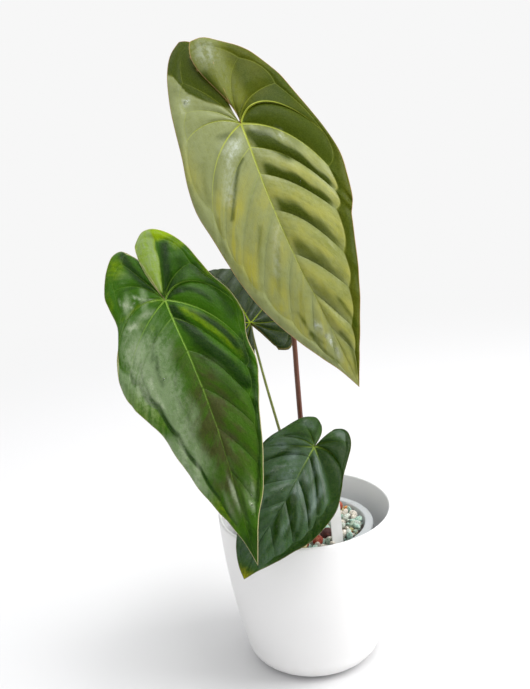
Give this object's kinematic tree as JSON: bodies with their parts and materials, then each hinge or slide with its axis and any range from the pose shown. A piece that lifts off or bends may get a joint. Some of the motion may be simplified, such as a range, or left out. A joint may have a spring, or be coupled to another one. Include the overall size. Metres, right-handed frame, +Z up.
{
  "type": "potted anthurium",
  "caption": "Potted foliage anthurium: hanging quilted heart-shaped leaves on slender petioles, in a thin nursery pot of mineral grit inside a smooth white cover pot",
  "frame": {"origin": "centre of the cover pot's flat underside, on the surface it stands on", "axes": "+Z up along the cover pot's axis, the longest extent; -Y is the way the leaves face; +X is right as seen from there"},
  "size_m": [0.2233, 0.2609, 0.5469],
  "materials": {
    "cover_glaze": "smooth satin white glaze",
    "nursery_plastic": "thin, slightly translucent white plastic",
    "grit_stone": "loose mixed mineral grit: pumice, pale green zeolite, dark and red lava, fired clay balls",
    "label_plastic": "plain white stake without lettering",
    "stem_bark": "short green-brown rootstock with leaf-scar rings",
    "petiole_maroon": "smooth maroon-brown leaf stalk; wood stands in for plant stalk",
    "petiole_olive": "smooth olive leaf stalk; wood stands in for plant stalk",
    "leaf_sage": "quilted leaf, silver-sage sheen between yellow-green veins; leather stands in for leaf tissue",
    "leaf_vivid": "glossy quilted leaf, vivid green with a silver sheen; leather stands in for leaf tissue",
    "leaf_dark": "quilted leaf, dark blue-green with a soft sheen; leather stands in for leaf tissue"
  },
  "bodies": {
    "root": {"cover_pot": "cover_glaze", "nursery_pot": "nursery_plastic", "grit": "grit_stone", "plant_label": "label_plastic", "stem": "stem_bark", "petiole_top": "petiole_maroon", "blade_top": "leaf_sage", "petiole_left": "petiole_olive", "blade_left": "leaf_vivid", "petiole_front": "petiole_olive", "blade_front": "leaf_dark", "petiole_back": "petiole_olive", "blade_back": "leaf_dark"}
  },
  "joints": []
}
